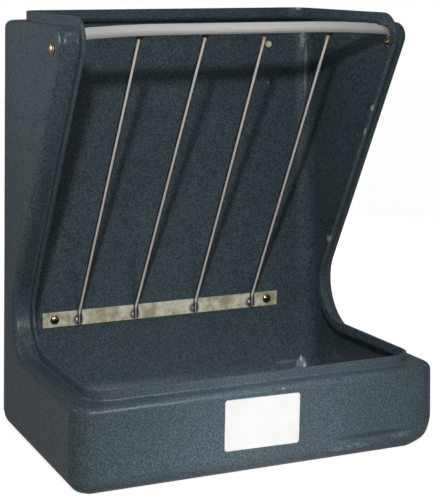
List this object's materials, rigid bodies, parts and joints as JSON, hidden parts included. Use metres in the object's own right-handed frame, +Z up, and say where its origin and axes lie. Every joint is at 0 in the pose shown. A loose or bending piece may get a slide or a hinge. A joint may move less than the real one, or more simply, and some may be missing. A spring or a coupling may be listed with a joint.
{
  "type": "wall feeder",
  "caption": "Moulded wall feeder for hay and grain: open-fronted shell with a deep trough, side panels, stepped rim and a bolted rack of slanting round rods.",
  "frame": {"origin": "on the floor plane, under the middle of the shell's box", "axes": "+X to the right seen from the front, +Y towards the wall, +Z up"},
  "size_m": [0.6136, 0.419, 0.686],
  "materials": {
    "slate_polyethylene": "rotomoulded, fine orange peel, satin",
    "bright_steel": "bright drawn, lightly worn",
    "zinc_plate": "pale zinc plate, mottled",
    "yellow_zinc": "yellow zinc plate"
  },
  "bodies": {
    "root": {"moulded_body": "slate_polyethylene", "rack_top_bar": "bright_steel", "rack_rod_1": "bright_steel", "rack_rod_2": "bright_steel", "rack_rod_3": "bright_steel", "rack_rod_4": "bright_steel", "rack_wall_strip": "zinc_plate", "strip_bolt_left": "zinc_plate", "strip_bolt_right": "zinc_plate", "strip_tee_nut_left": "zinc_plate", "strip_tee_nut_right": "zinc_plate", "mount_bolt_left": "zinc_plate", "mount_bolt_right": "zinc_plate", "mount_tee_nut_left": "zinc_plate", "mount_tee_nut_right": "zinc_plate", "side_bolt_left": "yellow_zinc", "side_bolt_right": "yellow_zinc", "side_washer_left": "yellow_zinc", "side_washer_right": "yellow_zinc", "side_nut_left": "yellow_zinc", "side_nut_right": "yellow_zinc"}
  },
  "joints": []
}
